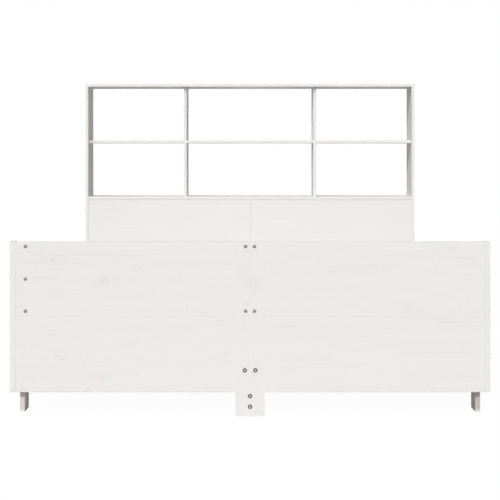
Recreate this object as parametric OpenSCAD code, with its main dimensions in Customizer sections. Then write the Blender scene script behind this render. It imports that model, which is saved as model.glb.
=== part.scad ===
/* [Mattress] */
// Width of the mattress that the bed takes
mattress_w = 1400; // [1200:10:1600]
// Length of the mattress that the bed takes
mattress_l = 2000; // [1900:10:2200]
// Room between the mattress and each side rail
side_gap = 10; // [4:1:20]
// Room between the mattress and the bookcase
end_gap = 2; // [1:1:20]

/* [Boards] */
// Thickness of the footboard, rail and leg boards
board_t = 18; // [16:1:24]
// Height of one board, which is one course of the footboard
course_h = 228; // [210:1:240]
// Gap between the floor and the lowest boards
floor_gap = 73; // [55:1:100]
// Width of the bevel that eases the long edges of a board
arris = 1; // [0.5:0.1:2]

/* [Foot end] */
// Width of the upright plate between the two halves of the footboard
plate_w = 89; // [84:1:110]
// How far the middle cleat laps behind each half of the footboard
lap = 30; // [24:1:40]
// How far the hidden block stays inside the plate at each side
block_inset = 4; // [2:1:6]
// Depth of the blocks at the two ends of the centre beam
block_d = 40; // [36:1:50]
// Depth of the battens that end the upper course
batten_d = 40; // [38:1:50]
// Width of the cleats behind the corners
cleat_w = 60; // [50:1:70]
// Thickness of the cleats behind the footboard and its corners
cleat_t = 18; // [16:1:24]
// How far the cleats stop below the top of the footboard
cleat_drop = 8; // [4:1:20]

/* [Legs and slatted base] */
// Width of the leg boards, seen from the side
leg_w = 80; // [70:1:100]
// Thickness of the leg boards and ledgers
leg_t = 16; // [14:1:22]
// Distance from the footboard to the first leg board
leg_setback = 64; // [50:1:80]
// Height of the top of the slats above the floor
slat_top = 268; // [255:1:280]
// Number of slats
slat_count = 14; // [11:1:14]
// Width of a slat
slat_w = 70; // [55:1:80]
// Thickness of a slat
slat_t = 18; // [16:1:22]
// Room between the end of a slat and the rail
slat_end_gap = 5; // [2:1:8]
// Height of the ledgers that carry the slats
ledger_h = 40; // [36:1:50]
// Width of the beam under the middle of the slats
beam_w = 40; // [36:1:50]
// Height of the beam under the middle of the slats
beam_h = 60; // [55:1:70]

/* [Bookcase] */
// Height of the bookcase above the floor
case_h = 1109; // [1000:1:1300]
// Depth of the bookcase
case_d = 210; // [180:1:300]
// Thickness of the bookcase boards
case_t = 12; // [12:1:18]
// Height of the bookcase bottom above the floor
case_floor = 611; // [570:1:680]
// Clear width of the middle compartments
middle_bay_w = 562; // [400:1:650]
// How far the shelf and the dividers sit behind the front edges
inner_setback = 30; // [4:1:40]
// How far the lower panels sit behind the front edges
panel_setback = 3; // [1:1:6]

/* [Fasteners] */
// Diameter of a screw shank
screw_d = 5; // [4:0.5:5]
// Diameter of a raised screw head
pan_d = 12; // [10:0.5:13]
// Height of a raised screw head
pan_h = 2.5; // [2:0.1:3.5]
// Diameter of a sunk screw head
flush_d = 9; // [8:0.5:10]
// Diameter of a bolt shank
bolt_d = 8; // [6:0.5:8]
// Diameter of a bolt head
bolt_head_d = 13; // [12:0.5:16]
// Height of a bolt head
bolt_head_h = 5; // [3:0.5:6]
// Width across the flats of a bolt socket
socket_af = 5; // [4:0.5:6]
// Diameter of a barrel nut
nut_d = 12; // [11:0.5:14]
// Length of a barrel nut
nut_l = 16; // [14:1:18]
// Diameter of a dowel
dowel_d = 6; // [5:0.5:7]
// Length of a dowel
dowel_l = 16; // [12:1:18]
// Room all round a screw, bolt, nut or dowel in its hole
hole_room = 0.1; // [0.05:0.05:0.2]

/* [Hidden] */
$fn = 32;

// Heights from the floor up
course_mid = floor_gap + course_h;
foot_top = course_mid + course_h;
ledger_top = slat_top - slat_t;
beam_z = ledger_top - beam_h;
case_ceiling = case_h - case_t;
case_base = case_floor - case_t;
shelf_z = (case_floor + case_ceiling - case_t) / 2;
panel_mid = case_base - course_h;
panel_base = panel_mid - course_h;

// Widths from the middle out
half_in = mattress_w / 2 + side_gap;
half_out = half_in + board_t;
case_in = half_out - case_t;
leg_x = half_in - leg_t;
plate_half = plate_w / 2;
block_half = plate_half - block_inset;
mid_cleat_half = plate_half + lap;
mid_cleat_x = plate_half + lap / 2;
divider_x = (middle_bay_w + case_t) / 2;
cleat_x = half_in - cleat_w / 2;

// Lengths from the foot to the head, with the middle of the whole bed at zero
bed_l = bolt_head_h + board_t + cleat_t + mattress_l + end_gap + case_d;
foot_y = bolt_head_h - bed_l / 2;
foot_back = foot_y + board_t;
bay_y = foot_back + cleat_t;
head_y = bay_y + mattress_l + end_gap;
back_y = head_y + case_d;
panel_y = head_y + panel_setback;
head_cleat_y = panel_y - cleat_t;
leg_foot_y = foot_back + leg_setback;
leg_head_y = head_y - board_t - leg_setback - leg_w;
ledger_y = leg_foot_y + leg_w;
ledger_l = leg_head_y - ledger_y;
slat_pitch = (leg_head_y + leg_w - leg_foot_y - slat_w) / (slat_count - 1);
beam_leg_y = [bay_y + (head_y - bay_y) / 3, bay_y + (head_y - bay_y) * 2 / 3];

// Lengths of the fasteners, from the boards that they join
inner_len = board_t + leg_t - 2;
beam_leg_len = 2 * board_t - 2;
cleat_len = cleat_t + board_t - 6;
face_len = cleat_len + 2;
panel_len = cleat_t + case_t - 3;
end_len = 2 * board_t + 4;
slat_len = slat_t + 17;
beam_len = beam_h + 20;
block_len = block_d + 15;
bolt_len = board_t + cleat_t + block_d - 6;
nut_y = bay_y + block_d / 2;
socket_h = 3;
sunk_h = (flush_d - screw_d) / 2;
cross_w = 1.2;
hole_over = 0.5;

// Heads and tips turn to where the head looks
looks_foot = [90, 0, 0];
looks_head = [-90, 0, 0];
looks_left = [0, -90, 0];
looks_right = [0, 90, 0];
looks_up = [0, 0, 0];

// Rows of screw heads along the two courses
top_in = 14.5;
seam_in = 17.5;
floor_in = 16;
cleat_in = 27;
upper_rows = [foot_top - top_in, course_mid + course_h / 2 + 1, course_mid + seam_in];
lower_rows = [course_mid - seam_in, floor_gap + course_h / 2, floor_gap + floor_in];
cleat_low_rows = [floor_gap + floor_in + cleat_in, course_mid - seam_in - cleat_in];
cleat_high_rows = [course_mid + seam_in + cleat_in, foot_top - top_in - cleat_in];
cleat_rows = [floor_gap + 30, (floor_gap + ledger_top) / 2, ledger_top - 30];
panel_rows = [panel_base + 25, ledger_top - 15];
leg_rows = [floor_gap + 40, ledger_top - ledger_h - 30];
block_rows = [beam_z * 0.3, beam_z * 0.7];
ledger_in = 60;
ledger_step = (ledger_l - 2 * ledger_in) / 4;
pair_x = 13.3;
bolt_pair_x = 16;
bolt_rise = 66.5;
bolt_falls = [12, 44];

// Places of the raised screws
plate_pairs = [for (x = [-pair_x, pair_x], z = [upper_rows[0], upper_rows[2]]) [x, foot_y, z]];
left_column = [for (z = upper_rows) [-cleat_x, foot_y, z]];
edge_rows = concat(upper_rows, lower_rows);
head_edge_y = head_cleat_y + cleat_t / 2 - panel_setback;
edge_left = concat(
    [for (z = edge_rows) [-half_out, foot_y + board_t / 2, z]],
    [for (z = cleat_rows) [-half_out, head_edge_y, z]]);
edge_right = [for (p = edge_left) [-p.x, p.y, p.z]];

// Places of the sunk screws
leg_points = [for (y = [leg_foot_y, leg_head_y], u = [0.25, 0.75], z = leg_rows) [y + u * leg_w, z]];
ledger_points = [for (u = [0:4]) [ledger_y + ledger_in + u * ledger_step, ledger_top - ledger_h + 11]];
inner_left = [for (p = concat(leg_points, ledger_points)) [-leg_x, p.x, p.y]];
inner_right = [for (p = inner_left) [-p.x, p.y, p.z]];
foot_cleat_points = concat(
    [for (x = [-cleat_x, cleat_x], z = cleat_low_rows) [x, bay_y, z]],
    [for (z = cleat_high_rows) [cleat_x, bay_y, z]]);
mid_cleat_rows = concat(cleat_low_rows, cleat_high_rows);
mid_cleat_points = [for (x = [-mid_cleat_x, mid_cleat_x], z = mid_cleat_rows) [x, bay_y, z]];
head_cleat_points = [for (x = [-cleat_x, cleat_x], z = panel_rows) [x, head_cleat_y, z]];
slat_x = (half_in + leg_x) / 2;
beam_leg_points = [for (y = beam_leg_y, u = [0.25, 0.75], z = [beam_z + 15, ledger_top - 15])
    [beam_w / 2 + board_t, y + (u - 0.5) * leg_w, z]];
beam_end_points = [[0, bay_y + block_d / 2, ledger_top], [0, head_y - block_d / 2, ledger_top]];
head_block_points = [for (z = block_rows) [0, head_y - block_d, z]];

// Places of the bolts
bolt_points = concat(
    [for (x = [-bolt_pair_x, bolt_pair_x]) [x, foot_y, floor_gap + bolt_rise]],
    [for (fall = bolt_falls) [0, foot_y, floor_gap - fall]]);

// Places of the dowels, at the face where two boards meet
inner_d = case_d - inner_setback;
case_mid_y = back_y - inner_d / 2;
wide_pair = [case_mid_y - 0.32 * inner_d, case_mid_y + 0.32 * inner_d];
near_pair = [case_mid_y - 0.16 * inner_d, case_mid_y + 0.16 * inner_d];
panel_mid_y = panel_y + case_t / 2;
side_mid_x = case_in + case_t / 2;
wide_rows = [case_floor, shelf_z + case_t, case_ceiling];
upright_dowels = concat(
    [for (x = [-divider_x, divider_x], y = wide_pair, z = wide_rows) [x, y, z]],
    [for (x = [-divider_x, divider_x], y = near_pair) [x, y, shelf_z]],
    [for (x = [-side_mid_x, side_mid_x], y = wide_pair) [x, y, case_ceiling]],
    [for (y = wide_pair) [0, y, case_base]]);
outer_rows = [for (z = [panel_base, panel_mid], u = [0.2, 0.8]) z + u * course_h];
inner_rows = [for (z = [panel_base, panel_mid], u = [0.35, 0.65]) z + u * course_h];
lying_dowels = concat(
    [for (x = [-case_in, case_in], y = wide_pair, z = [shelf_z, case_base]) [x, y, z + case_t / 2]],
    [for (x = [-case_in, -case_t / 2, case_in], z = outer_rows) [x, panel_mid_y, z]],
    [for (z = inner_rows) [case_t / 2, panel_mid_y, z]]);

paint = [0.92, 0.915, 0.905];
raw_wood = [0.86, 0.76, 0.6];
zinc = [0.62, 0.63, 0.65];
steel = [0.5, 0.51, 0.53];

function slat_name(i) = str("slat_", i < 9 ? "0" : "", i + 1);

// Cross-section of a board with its four long edges eased
module eased_section(a, b) {
    c = arris;
    polygon([[c, 0], [a - c, 0], [a, c], [a, b - c], [a - c, b], [c, b], [0, b - c], [0, c]]);
}

// Boards from a low corner to a high corner, with the grain along X, Y or Z
module board_x(low, high) {
    size = high - low;
    translate(low)
        rotate([90, 0, 90])
            linear_extrude(size.x) eased_section(size.y, size.z);
}

module board_y(low, high) {
    size = high - low;
    translate([low.x, high.y, low.z])
        rotate([90, 0, 0])
            linear_extrude(size.y) eased_section(size.x, size.z);
}

module board_z(low, high) {
    size = high - low;
    translate(low)
        linear_extrude(size.z) eased_section(size.x, size.y);
}

// Mirror image for the right-hand side
module side(right) {
    mirror([right ? 1 : 0, 0, 0]) children();
}

// Cross-shaped recess in a screw head, from its top down
module cross_recess(top, reach) {
    for (a = [0, 90])
        rotate(a)
            translate([-reach / 2, -cross_w / 2, top - 1.2])
                cube([reach, cross_w, 2]);
}

// Raised screw whose head rests on the face at zero and whose tip points down
module pan_screw(length) {
    difference() {
        union() {
            translate([0, 0, -length]) cylinder(h = length, d = screw_d);
            cylinder(h = pan_h / 2, d = pan_d);
            translate([0, 0, pan_h / 2]) cylinder(h = pan_h / 2, d1 = pan_d, d2 = pan_d * 0.66);
        }
        cross_recess(pan_h, pan_d * 0.5);
    }
}

// Screw whose head is sunk level with the face at zero
module flush_screw(length) {
    difference() {
        union() {
            translate([0, 0, -length]) cylinder(h = length, d = screw_d);
            translate([0, 0, -sunk_h]) cylinder(h = sunk_h, d1 = screw_d, d2 = flush_d);
        }
        cross_recess(0, flush_d * 0.55);
    }
}

module pan_hole(length) {
    translate([0, 0, -length - hole_over])
        cylinder(h = length + 2 * hole_over, d = screw_d + 2 * hole_room);
}

module flush_hole(length) {
    pan_hole(length);
    translate([0, 0, -sunk_h])
        cylinder(h = sunk_h, d1 = screw_d + 2 * hole_room, d2 = flush_d + 2 * hole_room);
    cylinder(h = hole_over, d = flush_d + 2 * hole_room);
}

module at_each(points, turn) {
    for (p = points)
        translate(p) rotate(turn) children();
}

// Bolt with a round head and a six-sided socket
module socket_bolt() {
    difference() {
        union() {
            translate([0, 0, -bolt_len]) cylinder(h = bolt_len, d = bolt_d);
            cylinder(h = bolt_head_h, d = bolt_head_d);
        }
        translate([0, 0, bolt_head_h - socket_h])
            cylinder(h = socket_h + 1, d = socket_af / cos(30), $fn = 6);
    }
}

module bolt_holes() {
    at_each(bolt_points, looks_foot)
        translate([0, 0, -bolt_len - hole_over])
            cylinder(h = bolt_len + 2 * hole_over, d = bolt_d + 2 * hole_room);
}

// Barrel nut lying across its bolt
module barrel_nut() {
    difference() {
        rotate([0, 90, 0]) cylinder(h = nut_l, d = nut_d, center = true);
        rotate([90, 0, 0]) cylinder(h = nut_d * 2, d = bolt_d + 2 * hole_room, center = true);
    }
}

// Bores for the barrel nuts, from the sides of the block
module nut_bores() {
    for (p = bolt_points) {
        way = p.x < 0 ? -1 : 1;
        bottom = p.x - way * (nut_l / 2 + hole_over);
        translate([bottom, nut_y, p.z])
            rotate([0, way * 90, 0])
                cylinder(h = abs(way * block_half - bottom) + 1, d = nut_d + 2 * hole_room);
    }
}

module dowel_bores() {
    for (p = upright_dowels)
        translate(p)
            cylinder(h = dowel_l + 2 * hole_over, d = dowel_d + 2 * hole_room, center = true);
    for (p = lying_dowels)
        translate(p)
            rotate([0, 90, 0])
                cylinder(h = dowel_l + 2 * hole_over, d = dowel_d + 2 * hole_room, center = true);
}

// Half board of the footboard, with its low edge at the given height
module footboard(right, z) {
    color(paint)
        difference() {
            side(right)
                board_x([-half_in, foot_y, z], [-plate_half, foot_back, z + course_h]);
            at_each(left_column, looks_foot) pan_hole(face_len);
            at_each(edge_left, looks_left) pan_hole(end_len);
            at_each(edge_right, looks_right) pan_hole(end_len);
            at_each(foot_cleat_points, looks_head) pan_hole(cleat_len);
            at_each(mid_cleat_points, looks_head) pan_hole(cleat_len);
        }
}

// Upright plate between the halves of the footboard and level with them, down to the floor
module foot_centre_plate() {
    color(paint)
        difference() {
            board_z([-plate_half, foot_y, 0], [plate_half, foot_back, foot_top]);
            at_each(plate_pairs, looks_foot) pan_hole(face_len);
            bolt_holes();
        }
}

// Cleat behind the plate that laps over both halves of the footboard
module foot_centre_cleat() {
    color(paint)
        difference() {
            board_z([-mid_cleat_half, foot_back, floor_gap], [mid_cleat_half, bay_y, foot_top - cleat_drop]);
            at_each(plate_pairs, looks_foot) pan_hole(face_len);
            at_each(mid_cleat_points, looks_head) flush_hole(cleat_len);
            bolt_holes();
        }
}

// Block behind the plate, rabbeted so that the cleat stands on its toe
module foot_centre_block() {
    color(paint)
        difference() {
            translate([-block_half, 0, 0])
                rotate([90, 0, 90])
                    linear_extrude(2 * block_half)
                        polygon([
                            [foot_back, 0], [bay_y + block_d, 0], [bay_y + block_d, beam_z],
                            [bay_y, beam_z], [bay_y, floor_gap], [foot_back, floor_gap]]);
            bolt_holes();
            nut_bores();
            at_each(beam_end_points, looks_up) pan_hole(beam_len);
        }
}

module foot_end_batten(right) {
    color(paint)
        difference() {
            side(right)
                board_z([-half_out, foot_y, course_mid], [-half_in, foot_y + batten_d, foot_top]);
            at_each(edge_left, looks_left) pan_hole(end_len);
            at_each(edge_right, looks_right) pan_hole(end_len);
        }
}

module foot_corner_cleat(right) {
    color(paint)
        difference() {
            side(right)
                board_z([-half_in, foot_back, floor_gap], [-half_in + cleat_w, bay_y, foot_top - cleat_drop]);
            at_each(left_column, looks_foot) pan_hole(face_len);
            at_each(foot_cleat_points, looks_head) flush_hole(cleat_len);
        }
}

module side_rail(right) {
    color(paint)
        difference() {
            side(right)
                board_y([-half_out, foot_y, floor_gap], [-half_in, head_y, course_mid]);
            at_each(edge_left, looks_left) pan_hole(end_len);
            at_each(edge_right, looks_right) pan_hole(end_len);
            at_each(inner_left, looks_right) pan_hole(inner_len);
            at_each(inner_right, looks_left) pan_hole(inner_len);
        }
}

module leg(right, y) {
    color(paint)
        difference() {
            side(right)
                board_z([-half_in, y, 0], [-leg_x, y + leg_w, ledger_top]);
            at_each(inner_left, looks_right) flush_hole(inner_len);
            at_each(inner_right, looks_left) flush_hole(inner_len);
            slat_screw_holes();
        }
}

module ledger(right) {
    color(paint)
        difference() {
            side(right)
                board_y([-half_in, ledger_y, ledger_top - ledger_h], [-leg_x, leg_head_y, ledger_top]);
            at_each(inner_left, looks_right) flush_hole(inner_len);
            at_each(inner_right, looks_left) flush_hole(inner_len);
            slat_screw_holes();
        }
}

module centre_beam() {
    color(paint)
        difference() {
            board_y([-beam_w / 2, bay_y, beam_z], [beam_w / 2, head_y, ledger_top]);
            at_each(beam_end_points, looks_up) flush_hole(beam_len);
            at_each(beam_leg_points, looks_right) pan_hole(beam_leg_len);
        }
}

module beam_leg(y) {
    color(paint)
        difference() {
            board_z([beam_w / 2, y - leg_w / 2, 0], [beam_w / 2 + board_t, y + leg_w / 2, ledger_top]);
            at_each(beam_leg_points, looks_right) flush_hole(beam_leg_len);
        }
}

module head_centre_block() {
    color(paint)
        difference() {
            board_z([-block_half, head_y - block_d, 0], [block_half, head_y, beam_z]);
            at_each(beam_end_points, looks_up) pan_hole(beam_len);
            at_each(head_block_points, looks_foot) flush_hole(block_len);
        }
}

module head_corner_cleat(right) {
    color(paint)
        difference() {
            side(right)
                board_z([-half_in, head_cleat_y, floor_gap],
                    [-half_in + cleat_w, panel_y, ledger_top]);
            at_each(edge_left, looks_left) pan_hole(end_len);
            at_each(edge_right, looks_right) pan_hole(end_len);
            at_each(head_cleat_points, looks_foot) flush_hole(panel_len);
        }
}

function slat_y(i) = leg_foot_y + i * slat_pitch;
slat_points = [for (x = [-slat_x, slat_x], i = [0:slat_count - 1]) [x, slat_y(i) + slat_w / 2, slat_top]];

module slat_screw_holes() {
    at_each(slat_points, looks_up) pan_hole(slat_len);
}

module slat(i) {
    color(paint)
        difference() {
            board_x([slat_end_gap - half_in, slat_y(i), ledger_top],
                [half_in - slat_end_gap, slat_y(i) + slat_w, slat_top]);
            for (x = [-slat_x, slat_x])
                translate([x, slat_y(i) + slat_w / 2, slat_top]) flush_hole(slat_len);
        }
}

module bookcase_side(right) {
    color(paint)
        difference() {
            side(right)
                board_z([-half_out, head_y, 0], [-case_in, back_y, case_ceiling]);
            dowel_bores();
        }
}

module bookcase_top() {
    color(paint)
        difference() {
            board_x([-half_out, head_y, case_ceiling], [half_out, back_y, case_h]);
            dowel_bores();
        }
}

module bookcase_shelf() {
    color(paint)
        difference() {
            board_x([-case_in, head_y + inner_setback, shelf_z], [case_in, back_y, shelf_z + case_t]);
            dowel_bores();
        }
}

module bookcase_bottom() {
    color(paint)
        difference() {
            board_x([-case_in, head_y, case_base], [case_in, back_y, case_floor]);
            dowel_bores();
        }
}

module divider(right, low, high) {
    color(paint)
        difference() {
            side(right)
                board_z([-divider_x - case_t / 2, head_y + inner_setback, low],
                    [-divider_x + case_t / 2, back_y, high]);
            dowel_bores();
        }
}

module bookcase_centre_divider() {
    color(paint)
        difference() {
            board_z([-case_t / 2, head_y, 0], [case_t / 2, back_y, case_base]);
            dowel_bores();
            at_each(head_block_points, looks_foot) pan_hole(block_len);
        }
}

module head_panel(right, z) {
    color(paint)
        difference() {
            side(right)
                board_x([-case_in, panel_y, z], [-case_t / 2, panel_y + case_t, z + course_h]);
            dowel_bores();
            at_each(head_cleat_points, looks_foot) pan_hole(panel_len);
        }
}

// Raised screws that show on the face of the foot end
module front_screws() {
    color(zinc) {
        at_each(plate_pairs, looks_foot) pan_screw(face_len);
        at_each(left_column, looks_foot) pan_screw(face_len);
    }
}

// Raised screws through the rails and battens into the boards between them
module end_screws() {
    color(zinc) {
        at_each(edge_left, looks_left) pan_screw(end_len);
        at_each(edge_right, looks_right) pan_screw(end_len);
    }
}

// Sunk screws inside the frame
module frame_screws() {
    color(zinc) {
        at_each(inner_left, looks_right) flush_screw(inner_len);
        at_each(inner_right, looks_left) flush_screw(inner_len);
        at_each(foot_cleat_points, looks_head) flush_screw(cleat_len);
        at_each(mid_cleat_points, looks_head) flush_screw(cleat_len);
        at_each(head_cleat_points, looks_foot) flush_screw(panel_len);
        at_each(beam_leg_points, looks_right) flush_screw(beam_leg_len);
        at_each(beam_end_points, looks_up) flush_screw(beam_len);
        at_each(head_block_points, looks_foot) flush_screw(block_len);
    }
}

module slat_screws() {
    color(zinc)
        at_each(slat_points, looks_up) flush_screw(slat_len);
}

module plate_bolts() {
    color(steel)
        at_each(bolt_points, looks_foot) socket_bolt();
}

module barrel_nuts() {
    color(steel)
        for (p = bolt_points)
            translate([p.x, nut_y, p.z]) barrel_nut();
}

module bookcase_dowels() {
    color(raw_wood) {
        for (p = upright_dowels)
            translate(p) cylinder(h = dowel_l, d = dowel_d, center = true);
        for (p = lying_dowels)
            translate(p) rotate([0, 90, 0]) cylinder(h = dowel_l, d = dowel_d, center = true);
    }
}

footboard(false, course_mid);  // footboard_upper_left
footboard(true, course_mid);  // footboard_upper_right
footboard(false, floor_gap);  // footboard_lower_left
footboard(true, floor_gap);  // footboard_lower_right
foot_centre_plate();
foot_centre_cleat();
foot_centre_block();
foot_end_batten(false);  // foot_end_batten_left
foot_end_batten(true);  // foot_end_batten_right
foot_corner_cleat(false);  // foot_corner_cleat_left
foot_corner_cleat(true);  // foot_corner_cleat_right
side_rail(false);  // side_rail_left
side_rail(true);  // side_rail_right
leg(false, leg_foot_y);  // leg_foot_left
leg(true, leg_foot_y);  // leg_foot_right
leg(false, leg_head_y);  // leg_head_left
leg(true, leg_head_y);  // leg_head_right
ledger(false);  // ledger_left
ledger(true);  // ledger_right
centre_beam();
beam_leg(beam_leg_y[0]);  // beam_leg_foot
beam_leg(beam_leg_y[1]);  // beam_leg_head
head_centre_block();
head_corner_cleat(false);  // head_corner_cleat_left
head_corner_cleat(true);  // head_corner_cleat_right
for (i = [0:slat_count - 1])
    slat(i);
bookcase_side(false);  // bookcase_side_left
bookcase_side(true);  // bookcase_side_right
bookcase_top();
bookcase_shelf();
bookcase_bottom();
divider(false, shelf_z + case_t, case_ceiling);  // divider_upper_left
divider(true, shelf_z + case_t, case_ceiling);  // divider_upper_right
divider(false, case_floor, shelf_z);  // divider_lower_left
divider(true, case_floor, shelf_z);  // divider_lower_right
bookcase_centre_divider();
head_panel(false, panel_mid);  // head_panel_upper_left
head_panel(true, panel_mid);  // head_panel_upper_right
head_panel(false, panel_base);  // head_panel_lower_left
head_panel(true, panel_base);  // head_panel_lower_right
front_screws();
end_screws();
frame_screws();
slat_screws();
plate_bolts();
barrel_nuts();
bookcase_dowels();
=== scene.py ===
"""Bed frame of white painted pine with a bookcase headboard, dressed for the studio."""

import math
import random

import bmesh
import bpy
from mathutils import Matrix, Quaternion, Vector


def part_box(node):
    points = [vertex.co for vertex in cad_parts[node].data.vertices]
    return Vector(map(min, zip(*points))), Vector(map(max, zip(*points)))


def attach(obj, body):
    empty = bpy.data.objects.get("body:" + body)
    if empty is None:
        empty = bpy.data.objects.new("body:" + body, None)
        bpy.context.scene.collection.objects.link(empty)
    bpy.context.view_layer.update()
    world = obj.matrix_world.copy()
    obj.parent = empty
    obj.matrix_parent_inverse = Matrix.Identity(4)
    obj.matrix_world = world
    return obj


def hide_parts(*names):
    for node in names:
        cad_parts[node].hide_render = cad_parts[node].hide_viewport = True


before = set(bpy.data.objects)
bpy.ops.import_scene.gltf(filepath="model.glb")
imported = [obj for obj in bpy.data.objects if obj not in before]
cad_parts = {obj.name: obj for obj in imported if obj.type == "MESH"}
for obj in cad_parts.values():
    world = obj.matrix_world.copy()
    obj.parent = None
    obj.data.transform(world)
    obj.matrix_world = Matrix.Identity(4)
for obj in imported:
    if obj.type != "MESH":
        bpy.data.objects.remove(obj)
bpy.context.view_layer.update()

bl_info = {
    "name": "Pine Bed Frame",
    "version": (1, 0, 0),
    "blender": (4, 5, 0),
    "location": "View3D > Sidebar > Bed",
    "description": "Dresses a painted pine bed frame with a bookcase headboard",
    "category": "Object",
}

MM = 0.001
BODY = "root"
AXES = {"X": 0, "Y": 1, "Z": 2}

# How far the raised screw heads of the CAD stand out of the boards
PAN_STANDS = 2.5 * MM

# Boards by where they stand and by the way that their grain runs
FOOTBOARDS = [
    "footboard_upper_left",
    "footboard_upper_right",
    "footboard_lower_left",
    "footboard_lower_right",
]
RAILS = ["side_rail_left", "side_rail_right"]
LEGS = ["leg_foot_left", "leg_foot_right", "leg_head_left", "leg_head_right"]
FOOT_UPRIGHTS = [
    "foot_centre_cleat",
    "foot_end_batten_left",
    "foot_end_batten_right",
    "foot_corner_cleat_left",
    "foot_corner_cleat_right",
]
BASE_LONG = ["ledger_left", "ledger_right", "centre_beam"]
BASE_UPRIGHT = [
    "beam_leg_foot",
    "beam_leg_head",
    "head_centre_block",
    "head_corner_cleat_left",
    "head_corner_cleat_right",
]
BOOKCASE_ACROSS = ["bookcase_top", "bookcase_shelf", "bookcase_bottom"]
HEAD_PANELS = [
    "head_panel_upper_left",
    "head_panel_upper_right",
    "head_panel_lower_left",
    "head_panel_lower_right",
]
BOOKCASE_UPRIGHT = [
    "bookcase_side_left",
    "bookcase_side_right",
    "divider_upper_left",
    "divider_upper_right",
    "divider_lower_left",
    "divider_lower_right",
    "bookcase_centre_divider",
]


class Knot:
    """A knot under the paint of the foot end.

    Its place across and up and its reach in both are in millimetres. Depth is the strength of
    its dark spot and pink that of the resin round it, so depth 0 leaves a pink cloud alone.
    """

    def __init__(self, across, up, wide, high, depth, pink=0.5):
        self.place = Vector((across * MM, 0.0, up * MM))
        self.wide = wide * MM
        self.high = high * MM
        self.depth = depth
        self.pink = pink


FOOTBOARD_KNOTS = [
    Knot(-595, 472, 9, 7, 1.2, 0.8),
    Knot(-610, 466, 24, 15, 0.0, 0.8),
    Knot(-587, 376, 14, 9, 0.0, 0.9),
    Knot(-439, 411, 20, 16, 0.65, 1.0),
    Knot(-351, 449, 8, 6, 0.4, 0.8),
    Knot(-330, 449, 8, 6, 0.4, 0.8),
    Knot(-192, 331, 7, 5, 0.4, 0.9),
    Knot(-584, 183, 10, 8, 0.7, 0.8),
    Knot(-570, 171, 12, 7, 0.6, 0.8),
    Knot(-660, 173, 56, 2, 0.55, 0.2),
    Knot(-611, 163, 44, 21, 0.0, 0.9),
    Knot(-634, 212, 15, 13, 0.0, 0.8),
    Knot(-466, 118, 22, 13, 0.0, 0.8),
    Knot(-272, 156, 24, 8, 0.0, 0.8),
    Knot(-451, 116, 12, 8, 0.5),
    Knot(-491, 81, 10, 7, 1.0, 0.1),
    Knot(-551, 216, 10, 7, 0.2, 0.0),
    Knot(-551, 507, 9, 6, 0.4),
    Knot(-74, 190, 11, 7, 0.8, 0.2),
    Knot(478, 327, 20, 13, 0.3, 1.0),
    Knot(512, 318, 14, 8, 0.35, 0.0),
    Knot(412, 482, 10, 7, 0.25, 0.0),
    Knot(113, 83, 16, 6, 0.5),
    Knot(108, 272, 70, 5, 0.45, 0.0),
    Knot(604, 286, 60, 4, 0.45, 0.0),
    Knot(172, 170, 110, 4, 0.4, 0.0),
]
PLATE_KNOTS = [
    Knot(14, 402, 28, 30, 0.3, 1.0),
    Knot(-11, 341, 14, 7, 0.8, 0.0),
]


# Properties


class BedSizes(bpy.types.PropertyGroup):
    """Sizes of what the CAD leaves plain"""

    arris: bpy.props.FloatProperty(
        name="Arris",
        description="Radius of the eased long edges",
        default=1.3 * MM,
        unit="LENGTH",
    )
    end_arris: bpy.props.FloatProperty(
        name="End arris",
        description="Radius of the eased ends",
        default=0.5 * MM,
        unit="LENGTH",
    )
    upright_arris: bpy.props.FloatProperty(
        name="Upright arris",
        description="Radius on the legs and dividers",
        default=1.7 * MM,
        unit="LENGTH",
    )
    shelf_arris: bpy.props.FloatProperty(
        name="Shelf arris",
        description="Radius on the boards across the bookcase",
        default=0.9 * MM,
        unit="LENGTH",
    )
    plate_arris: bpy.props.FloatProperty(
        name="Plate arris",
        description="Radius on the centre plate",
        default=0.4 * MM,
        unit="LENGTH",
    )
    rail_end_arris: bpy.props.FloatProperty(
        name="Rail end arris",
        description="Radius round the ends of the rails",
        default=1.8 * MM,
        unit="LENGTH",
    )
    pan_height: bpy.props.FloatProperty(
        name="Raised head height",
        description="Height of a raised screw head",
        default=1.6 * MM,
        unit="LENGTH",
    )
    pan_diameter: bpy.props.FloatProperty(
        name="Raised head",
        description="Diameter of a raised screw head",
        default=11.4 * MM,
        unit="LENGTH",
    )
    flush_diameter: bpy.props.FloatProperty(
        name="Sunk head",
        description="Diameter of a sunk screw head",
        default=9 * MM,
        unit="LENGTH",
    )
    shank_diameter: bpy.props.FloatProperty(
        name="Screw shank",
        description="Diameter of a screw shank",
        default=5 * MM,
        unit="LENGTH",
    )
    bolt_head: bpy.props.FloatProperty(
        name="Bolt head",
        description="Diameter of a bolt head",
        default=13 * MM,
        unit="LENGTH",
    )
    bolt_height: bpy.props.FloatProperty(
        name="Bolt head height",
        description="Height of a bolt head",
        default=5 * MM,
        unit="LENGTH",
    )
    bolt_shank: bpy.props.FloatProperty(
        name="Bolt shank",
        description="Diameter of a bolt shank",
        default=8 * MM,
        unit="LENGTH",
    )
    socket: bpy.props.FloatProperty(
        name="Bolt socket",
        description="Width across the flats of the socket",
        default=5 * MM,
        unit="LENGTH",
    )


# What every colour property shares
COLOUR_RANGE = {"size": 3, "min": 0.0, "max": 1.0}


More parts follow.
